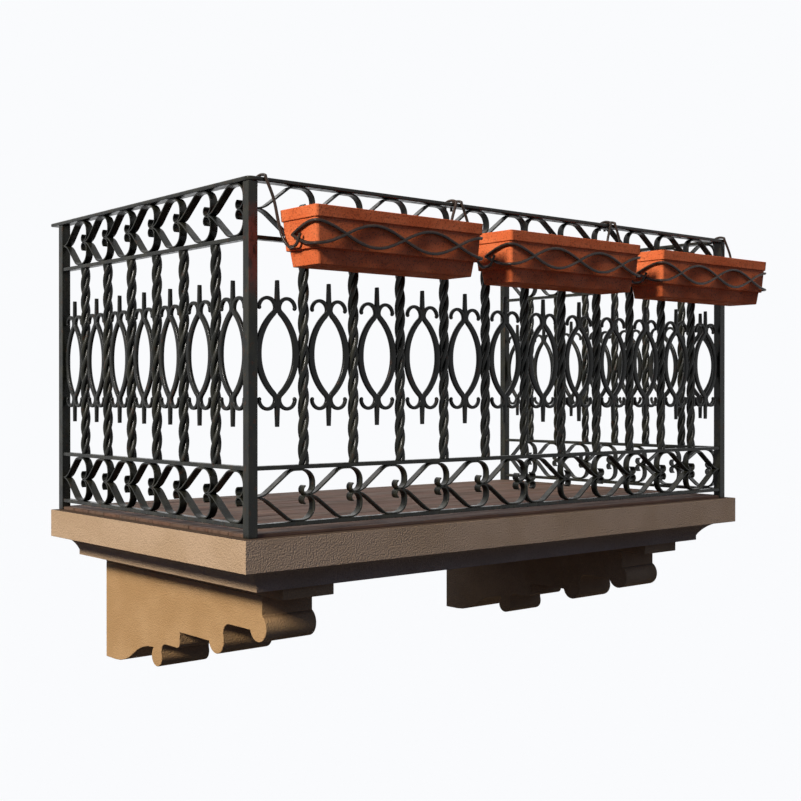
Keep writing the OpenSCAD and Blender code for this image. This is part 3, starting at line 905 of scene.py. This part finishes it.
@dataclass
class ScrollFriezes:
    """Flat strips bent into rows of double scrolls, above and below the bars."""

    finish: Finish
    bays: Bays
    strip_mm: float = 5.0
    depth_mm: float = 25.0
    edge_mm: float = 1.1
    lap_mm: float = 1.0
    start_mm: float = 12.0
    tip_angle: float = 12.0
    rise_share: float = 0.4
    shoulder_share: float = 0.24
    flat_share: float = 0.16
    crown_share: float = 0.54
    heel_share: float = 0.37
    curl_share: float = 0.18
    curl_turn: float = 155.0
    height_mm: float = 148.6
    heel_taper: float = 0.95
    curl_taper: float = 0.85
    weld_mm: tuple[float, float, float] = (9.0, 11.75, 4.6)
    weld_share: float = 0.55
    end_play_mm: float = 0.2

    def build(self) -> None:
        """Make two pieces a side, the top frieze and the bottom one."""
        for side in Side:
            for level in ("top", "bottom"):
                node = f"{side.word}_{level}_scrolls"
                add_piece(f"{node}_forged", self.frieze(side, middle(node).z), self.finish, [node], 50.0)

    def base(self) -> float:
        """Return the height of an arm's tip and heel over the middle line, in millimetres."""
        return self.strip_mm / 2 - self.lap_mm

    def rise(self) -> float:
        """Return how far an arm rises from its tip to the rail, in millimetres."""
        return self.height_mm / 2 - self.strip_mm / 2 - self.base()

    def notch(self) -> float:
        """Return how far the notch between two heels lies beyond their lowest point, in millimetres."""
        heel_r = self.heel_share * self.rise()
        return math.sqrt(heel_r**2 - (heel_r - self.strip_mm) ** 2)

    def pitches(self, side: Side) -> list[float]:
        """List the lengths of a row of scrolls, from its post on, in millimetres.

        Args:
            side: The railing's side; on the front a row is half of the frieze.

        Returns:
            The lengths.
        """
        bays, half = self.bays, self.bays.front_count // 2
        heel = self.heel_share * self.rise() + self.strip_mm / 2
        ends = self.start_mm + heel - self.notch() + self.end_play_mm
        front = ((Side.FRONT.run() / MM - bays.post_mm) / 2 - ends) / half
        if side is Side.FRONT:
            return [front] * half
        even = bays.side_count - bays.corner_count
        left = side.run() / MM - bays.post_mm - ends - bays.corner_count * front
        return [left / even] * even + [front] * bays.corner_count

    def frieze(self, side: Side, height: float) -> bmesh.types.BMesh:
        """Set out one frieze.

        Args:
            side: The railing's side.
            height: Height of the frieze's middle line.

        Returns:
            The frieze in place.
        """
        pitches = self.pitches(side)
        units = {pitch: self.arm(pitch) for pitch in set(pitches)}
        weld = weld_bead(self.weld_mm)
        bm = bmesh.new()
        rows = [side.place() @ Matrix.Translation((self.bays.post_mm / 2 * MM, 0, height))]
        if side is Side.FRONT:
            clear = side.run() - self.bays.post_mm * MM
            rows.append(rows[0] @ Matrix.Translation((clear, 0, 0)) @ Matrix.Diagonal((-1, 1, 1, 1)))
        for row in rows:
            at = self.start_mm
            for i, pitch in enumerate(pitches):
                place = row @ Matrix.Translation((at * MM, 0, 0))
                for flip in (1, -1):
                    stamp(bm, units[pitch], place @ Matrix.Diagonal((1, 1, flip, 1)))
                at += pitch
                if i + 1 < len(pitches):
                    joint = (at - self.notch() * self.weld_share) * MM
                    stamp(bm, weld, row @ Matrix.Translation((joint, 0, 0)))
        return bm

    def arm(self, pitch: float) -> bpy.types.Mesh:
        """Bend a scroll's upper strip: tip, rise, shoulder, flat, crown, heel and curl.

        Args:
            pitch: Length of one scroll in millimetres.

        Returns:
            The strip, with its tip at the drawing's origin.
        """
        t, base, rise = self.strip_mm, self.base(), self.rise()
        top = base + rise
        rise_r, shoulder_r = self.rise_share * pitch, self.shoulder_share * pitch
        crown_r, heel_r, curl_r = self.crown_share * rise, self.heel_share * rise, self.curl_share * rise
        heel_x = pitch - self.notch()
        crown_x = heel_x + heel_r - crown_r
        tip = math.radians(self.tip_angle)
        low = Vector((-rise_r * math.sin(tip), base + rise_r * math.cos(tip)))
        high = Vector((crown_x - self.flat_share * pitch, top - shoulder_r))
        way = high - low
        steep = math.degrees(math.atan2(way.y, way.x) + math.asin((rise_r + shoulder_r) / way.length))
        lap = math.degrees(math.asin(self.start_mm / rise_r))
        path = bend(tuple(low), rise_r, self.tip_angle - 90 - lap, steep - 90, (t, t), 10)
        path += bend(tuple(high), shoulder_r, 90 + steep, 90, (t, t), 7)
        path += bend((crown_x, top - crown_r), crown_r, 90, 0, (t, t), 10)
        heel_t, curl_t = t * self.heel_taper, t * self.curl_taper
        path += bend((heel_x, base + heel_r), heel_r, 0, -90, (t, heel_t), 9)
        path += bend((heel_x, base + curl_r), curl_r, -90, -90 - self.curl_turn, (heel_t, curl_t), 14)[1:]
        return forge(path, t, self.depth_mm, self.edge_mm)


@dataclass
class BoardedFloor:
    """Softwood boards that run along the balcony."""

    TINT = "tint"

    finish: Finish
    count: int = 11
    gap_mm: float = 2.5
    edge_mm: float = 2.0
    seed: int = 7

    def build(self) -> None:
        """Lay the boards, and give each its own tint."""
        low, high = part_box("floor_boards")
        pitch = (high.y - low.y) / self.count
        draw = random.Random(self.seed)
        bm = bmesh.new()
        tint = bm.faces.layers.float.new(self.TINT)
        for i in range(self.count):
            board = bmesh.new()
            bmesh.ops.create_cube(board, size=1.0)
            size = (high.x - low.x, pitch - self.gap_mm * MM, high.z - low.z)
            bmesh.ops.scale(board, vec=size, verts=board.verts)
            ease(board, board.edges[:], self.edge_mm * MM)
            place = Vector(((low.x + high.x) / 2, low.y + (i + 0.5) * pitch, (low.z + high.z) / 2))
            known = len(bm.faces)
            stamp(bm, to_unit(board), Matrix.Translation(place))
            bm.faces.ensure_lookup_table()
            shade = draw.random()
            for face in bm.faces[known:]:
                face[tint] = shade
        add_piece("floor_boards_laid", bm, self.finish, ["floor_boards"])


@dataclass
class FlowerBoxes:
    """Moulded clay boxes with a rim, a tapering body and a recessed foot, open at the top."""

    finish: Finish
    rim_h_mm: float = 33.0
    foot_h_mm: float = 44.0
    rim_out_mm: float = 6.0
    taper_mm: float = 6.0
    ledge_mm: float = 8.0
    wall_mm: float = 9.0
    corner_mm: float = 10.0
    edge_mm: float = 2.6

    def build(self) -> None:
        """Make the three boxes."""
        for word in ("left", "middle", "right"):
            node = f"{word}_flower_box"
            add_piece(f"{node}_moulded", self.box(*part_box(node)), self.finish, [node], 30.0)

    def levels(self, height_mm: float) -> list[tuple[float, float]]:
        """List the box's outline from its foot over the rim to the inside floor.

        Args:
            height_mm: The box's height in millimetres.

        Returns:
            Height and setback from the rim's outline at each level, in millimetres.
        """
        body = self.rim_out_mm
        ledge = body + self.taper_mm
        foot = ledge + self.ledge_mm
        rim = height_mm - self.rim_h_mm
        return [
            (0, foot + self.taper_mm),
            (self.foot_h_mm, foot),
            (self.foot_h_mm, ledge),
            (rim, body),
            (rim, self.rim_out_mm / 3),
            (height_mm, 0),
            (height_mm, body + self.wall_mm / 2),
            (self.wall_mm, foot + self.taper_mm + self.wall_mm),
        ]

    def box(self, low: Vector, high: Vector) -> bmesh.types.BMesh:
        """Raise one box level by level.

        Args:
            low: Lowest corner of the box.
            high: Highest corner of the box.

        Returns:
            The box in place.
        """
        size = high - low
        levels = self.levels(size.z / MM)
        places = []
        for height, setback in levels:
            grow = [(size[i] - 2 * setback * MM) / size[i] for i in range(2)]
            at = Vector(((low.x + high.x) / 2, (low.y + high.y) / 2, low.z + height * MM))
            places.append(Matrix.Translation(at) @ Matrix.Diagonal((grow[0], grow[1], 1, 1)))
        bm = sweep(rounded_section(size.x, size.y, self.corner_mm * MM, 7), places)
        level_edges = [e for e in sharp_edges(bm, 22.0) if abs(e.verts[0].co.z - e.verts[1].co.z) < MM / 10]
        ease(bm, level_edges, self.edge_mm * MM, 3)
        return bm


@dataclass
class BoxHolders:
    """Wire holders: two waves that cross into eyes round each box, and hooks over the handrail."""

    finish: Finish
    boxes: FlowerBoxes
    wire_mm: float = 9.0
    wave_h_mm: float = 31.0
    eyes: int = 4
    wave_back_mm: float = 62.0
    hook_out_mm: float = 44.0
    hook_end_mm: float = 20.0
    touch_mm: float = 0.3
    sides: int = 10

    def build(self) -> None:
        """Make one holder for each box."""
        for word in ("left", "middle", "right"):
            node = f"{word}_box_holder"
            low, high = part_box(f"{word}_flower_box")
            place = Matrix.Translation(((low.x + high.x) / 2, high.y, low.z)) @ Matrix.Scale(MM, 4)
            size = (high - low) / MM
            bm = bmesh.new()
            for up in (1, -1):
                stamp(bm, self.wire(self.wave(size, up)), place)
            corner = abs(middle("right_corner_post").x)
            for across in (1, -1):
                out = min(size.x / 2 + self.hook_out_mm, (corner - across * place.translation.x) / MM)
                hook = self.wire(self.smooth(self.hook_points(size, place, out), 6))
                stamp(bm, hook, place @ Matrix.Diagonal((across, 1, 1, 1)))
            add_piece(f"{node}_bent", bm, self.finish, [node], 60.0)

    def side_x(self, size: Vector) -> float:
        """Return how far the wire's middle lies from a box's middle, for the box's size in millimetres."""
        return size.x / 2 - self.boxes.rim_out_mm + self.wire_mm / 2 + self.touch_mm

    def mid_height(self, size: Vector) -> float:
        """Return the height halfway between a box's foot and rim, for the box's size in millimetres."""
        foot = self.boxes.foot_h_mm
        return foot + (size.z - self.boxes.rim_h_mm - foot) / 2

    def wave(self, size: Vector, up: int, steps: int = 22) -> list[Vector]:
        """Run one wave round the box's left side, front and right side.

        Args:
            size: The box's size in millimetres.
            up: 1 for the wave that starts upwards, -1 for the other.
            steps: Points for each eye.

        Returns:
            Points from the middle of the box's back edge, in millimetres.
        """
        r = self.wire_mm / 2
        side_x, height = self.side_x(size), self.mid_height(size)
        front_y = -size.y + self.boxes.rim_out_mm - r - self.touch_mm
        bend_r = self.boxes.corner_mm + r
        straight = -front_y - self.wave_back_mm - bend_r
        corner = math.pi / 2 * bend_r
        half = straight + corner + side_x - bend_r
        points = []
        for i in range(self.eyes * steps + 1):
            s = 2 * half * i / (self.eyes * steps)
            way = min(s, 2 * half - s)
            if way < straight:
                x, y = -side_x, -self.wave_back_mm - way
            elif way < straight + corner:
                a = math.pi * (1 + (way - straight) / corner / 2)
                x = -side_x + bend_r * (1 + math.cos(a))
                y = front_y + bend_r * (1 + math.sin(a))
            else:
                x, y = -side_x + bend_r + way - straight - corner, front_y
            x = x if s <= half else -x
            points.append(Vector((x, y, height + up * self.wave_h_mm * math.sin(math.pi * i / steps))))
        return points

    def hook_points(self, size: Vector, place: Matrix, out: float) -> list[Vector]:
        """List the right hook's points, from behind the handrail to its end in the first eye.

        Args:
            size: The box's size in millimetres.
            place: Where the box's back edge is, to find the handrail from it.
            out: Where the hook stands over the handrail, from the box's middle, in millimetres.

        Returns:
            Points from the middle of the box's back edge, in millimetres.
        """
        rail_low, rail_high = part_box("front_handrail")
        rail = place.inverted() @ Vector((0, (rail_low.y + rail_high.y) / 2, rail_high.z))
        r, d, touch = self.wire_mm / 2, self.wire_mm, self.touch_mm
        reach = (rail_high.y - rail_low.y) / 2 / MM + r + touch
        end, back = size.x / 2, self.wave_back_mm
        side_x, mid = self.side_x(size), self.mid_height(size)
        low = self.boxes.foot_h_mm + d
        points = [
            (out, rail.y + reach, rail.z - self.hook_end_mm),
            (out, rail.y + reach, rail.z - r),
            (out, rail.y + reach - r, rail.z + r + touch),
            (out, rail.y, rail.z + d),
            (out, rail.y - reach + r, rail.z + r + touch),
            (out, rail.y - reach, rail.z - r),
            (end + max((out - end) / 2, d), rail.y - reach - r, size.z + (rail.z - size.z) / 3),
            (end + d, -back / 6, size.z - self.boxes.rim_h_mm),
            (side_x + r, -back / 3, mid),
            (side_x, -back * 2 / 3, low + r),
            (side_x, -back, low),
            (side_x + r, -back - 3 * d, low + r),
            (side_x + r, -back - 5 * d, mid),
        ]
        return [Vector(p) for p in points]

    @staticmethod
    def smooth(points: Sequence[Vector], pieces: int) -> list[Vector]:
        """Run a smooth curve through points.

        Args:
            points: The points.
            pieces: Pieces between each two points.

        Returns:
            The curve's points.
        """
        curve = []
        for i in range(len(points) - 1):
            a, b = points[max(i - 1, 0)], points[i]
            c, d = points[i + 1], points[min(i + 2, len(points) - 1)]
            for k in range(pieces):
                t = k / pieces
                square, cube = 2 * a - 5 * b + 4 * c - d, 3 * b - 3 * c + d - a
                curve.append(b + (t * (c - a) + t**2 * square + t**3 * cube) / 2)
        return curve + [points[-1]]

    def wire(self, points: Sequence[Vector]) -> bpy.types.Mesh:
        """Sweep round wire along points.

        Args:
            points: The points in millimetres.

        Returns:
            The wire in millimetres.
        """
        bm = bmesh.new()
        bmesh.ops.create_circle(bm, cap_ends=True, segments=self.sides, radius=self.wire_mm / 2)
        turn = Vector((0, 0, 1)).rotation_difference(points[1] - points[0])
        before = points[1] - points[0]
        places = []
        for i, point in enumerate(points):
            ahead = points[min(i + 1, len(points) - 1)] - points[max(i - 1, 0)]
            turn = before.rotation_difference(ahead) @ turn
            before = ahead
            places.append(Matrix.Translation(point) @ turn.to_matrix().to_4x4())
        return to_unit(sweep(bm, places))


@dataclass
class Studio:
    """Camera, sun, sky and a pale floor far below."""

    camera_at: tuple[float, float, float] = (-2.9659, -4.0818, 0.4381)
    camera_yaw: float = 40.038
    camera_pitch: float = -0.179
    focal_px: float = 1240.5
    image_px: float = 801.0
    sun_azimuth: float = 11.0
    sun_elevation: float = 31.5
    sun_strength: float = 3.7
    sun_angle: float = 13.0
    rim_azimuth: float = -90.0
    rim_elevation: float = 40.0
    rim_strength: float = 0.45
    rim_angle: float = 50.0
    lamp_colour: tuple[float, float, float] = (1.0, 0.96, 0.9)
    sky_colour: str = "#9db9ff"
    sky_span: tuple[float, float, float, float] = (-0.25, 0.4, 0.05, 0.35)
    backdrop: str = "#fafbfd"
    floor_drop: float = 3.0
    floor_size: float = 80.0
    floor_dark: tuple[float, float, float, float] = (0.03, 0.03, 0.04, 1.0)
    floor_pale: tuple[float, float, float, float] = (0.4, 0.4, 0.4, 1.0)
    floor_glow: tuple[float, float, float, float] = (1.0, 0.999, 0.944, 1.0)
    floor_lift: float = 0.627

    def build(self) -> None:
        """Set up the scene round the object."""
        bpy.context.scene.view_settings.view_transform = "Standard"
        self.add_camera()
        self.add_lamp("sun", self.sun_azimuth, self.sun_elevation, self.sun_strength, self.sun_angle)
        self.add_lamp("rim", self.rim_azimuth, self.rim_elevation, self.rim_strength, self.rim_angle)
        self.add_sky()
        self.add_floor()

    def add_camera(self) -> None:
        """Stand the camera where the photograph was taken from."""
        data = bpy.data.cameras.new("camera")
        data.sensor_width = 36.0
        data.lens = data.sensor_width * self.focal_px / self.image_px
        camera = bpy.data.objects.new("camera", data)
        camera.location = self.camera_at
        camera.rotation_euler = (math.radians(90 + self.camera_pitch), 0, math.radians(-self.camera_yaw))
        bpy.context.scene.collection.objects.link(camera)
        bpy.context.scene.camera = camera

    def add_lamp(self, name: str, azimuth: float, elevation: float, strength: float, angle: float) -> None:
        """Add a warm lamp as far off as the sun.

        Args:
            name: The lamp's name.
            azimuth: Where its light goes, in degrees from +X towards +Y.
            elevation: How high the lamp stands, in degrees.
            strength: Its strength.
            angle: How wide it looks, in degrees.
        """
        data = bpy.data.lights.new(name, "SUN")
        data.energy = strength
        data.angle = math.radians(angle)
        data.color = self.lamp_colour
        a, e = math.radians(azimuth), math.radians(elevation)
        way = Vector((math.cos(e) * math.cos(a), math.cos(e) * math.sin(a), -math.sin(e)))
        lamp = bpy.data.objects.new(name, data)
        lamp.rotation_euler = way.to_track_quat("-Z", "Y").to_euler()
        bpy.context.scene.collection.objects.link(lamp)

    def add_sky(self) -> None:
        """Show white to the camera and to gloss, and light softly from above."""
        world = bpy.data.worlds.new("sky")
        bpy.context.scene.world = world
        world.use_nodes = True
        tree = world.node_tree
        tree.nodes.clear()
        way = add_node(tree, "ShaderNodeTexCoord").outputs["Generated"]
        up = add_node(tree, "ShaderNodeSeparateXYZ", {"Vector": way}).outputs["Z"]
        span = dict(zip(SPAN, self.sky_span), Value=up)
        glow = add_node(tree, "ShaderNodeMapRange", span, interpolation_type="SMOOTHSTEP").outputs["Result"]
        soft = add_node(tree, "ShaderNodeBackground", {"Color": to_linear(self.sky_colour), "Strength": glow})
        white = add_node(tree, "ShaderNodeBackground", {"Color": to_linear(self.backdrop), "Strength": 1.0})
        kinds = {0: self.seen_rays(tree), 1: soft.outputs["Background"], 2: white.outputs["Background"]}
        mixed = add_node(tree, "ShaderNodeMixShader", kinds)
        add_node(tree, "ShaderNodeOutputWorld", {"Surface": mixed.outputs["Shader"]})

    @staticmethod
    def seen_rays(tree: bpy.types.NodeTree) -> bpy.types.NodeSocket:
        """Tell the rays that show the backdrop, straight or in gloss, from those that light the object.

        Args:
            tree: The material's or the world's node tree.

        Returns:
            One for a ray that shows the backdrop, else zero.
        """
        rays = add_node(tree, "ShaderNodeLightPath")
        seen = rays.outputs["Is Camera Ray"]
        for kind in ("Is Glossy Ray", "Is Transmission Ray"):
            inputs = {0: seen, 1: rays.outputs[kind]}
            seen = add_node(tree, "ShaderNodeMath", inputs, operation="MAXIMUM").outputs["Value"]
        return seen

    def add_floor(self) -> None:
        """Lay a pale floor that keeps the object's shadow and throws little light back up."""
        bm = bmesh.new()
        bmesh.ops.create_grid(bm, x_segments=1, y_segments=1, size=self.floor_size / 2)
        bmesh.ops.translate(bm, vec=(0, 0, CAD_BOX[0].z - self.floor_drop), verts=bm.verts)
        mesh = bpy.data.meshes.new("floor")
        bm.to_mesh(mesh)
        bm.free()
        made = bpy.data.materials.new("pale_floor")
        made.use_nodes = True
        tree = made.node_tree
        tree.nodes.clear()
        seen = self.seen_rays(tree)
        shade = {MixSocket.FACTOR: seen, MixSocket.FIRST: self.floor_dark, MixSocket.SECOND: self.floor_pale}
        colour = add_node(tree, "ShaderNodeMix", shade, data_type="RGBA").outputs[MixSocket.RESULT]
        lit = add_node(tree, "ShaderNodeBsdfDiffuse", {"Color": colour})
        inputs = {0: seen, 1: self.floor_lift}
        lift = add_node(tree, "ShaderNodeMath", inputs, operation="MULTIPLY").outputs["Value"]
        glow = add_node(tree, "ShaderNodeEmission", {"Color": self.floor_glow, "Strength": lift})
        both = add_node(tree, "ShaderNodeAddShader", {0: lit.outputs["BSDF"], 1: glow.outputs["Emission"]})
        add_node(tree, "ShaderNodeOutputMaterial", {"Surface": both.outputs["Shader"]})
        mesh.materials.append(made)
        floor = bpy.data.objects.new("floor", mesh)
        bpy.context.scene.collection.objects.link(floor)


def main() -> None:
    """Build the balcony's pieces in order, then the studio."""
    logging.basicConfig(level=logging.INFO, format="%(name)s %(message)s")
    rails = [f"{side.word}_{level}_rail" for side in Side for level in ("frieze", "lower", "bottom")]
    posts = ["left_wall_post", "right_wall_post", "right_corner_post"]
    slab_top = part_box("slab")[1].z
    primed = ForgedSteel(
        "forged_steel_red_primer", "wrought_steel", patch=(slab_top + 0.70, slab_top + 0.90), rust_share=0.4
    )
    bays, boxes = Bays(), FlowerBoxes(CLAY)
    parts = [
        EasedSolids(STEEL, posts + rails, radius_mm=1.8),
        EasedSolids(primed, ["left_corner_post"], radius_mm=1.8),
        Handrail(STEEL),
        TwistedBars(STEEL, bays),
        LensOrnaments(SHADE_DARKENED_LENS, bays),
        ScrollFriezes(STRIP, bays),
        EasedSolids(SLAB_PLASTER, ["slab", "cove_moulding"], radius_mm=1.2),
        EasedSolids(
            CORBEL_PLASTER,
            ["left_corbel_cap", "right_corbel_cap", "left_corbel", "right_corbel"],
            radius_mm=2.5,
            segments=3,
        ),
        BoardedFloor(BOARDS),
        boxes,
        BoxHolders(WIRE, boxes),
        Studio(),
    ]
    for part in parts:
        part.build()


if __name__ == "__main__":
    main()
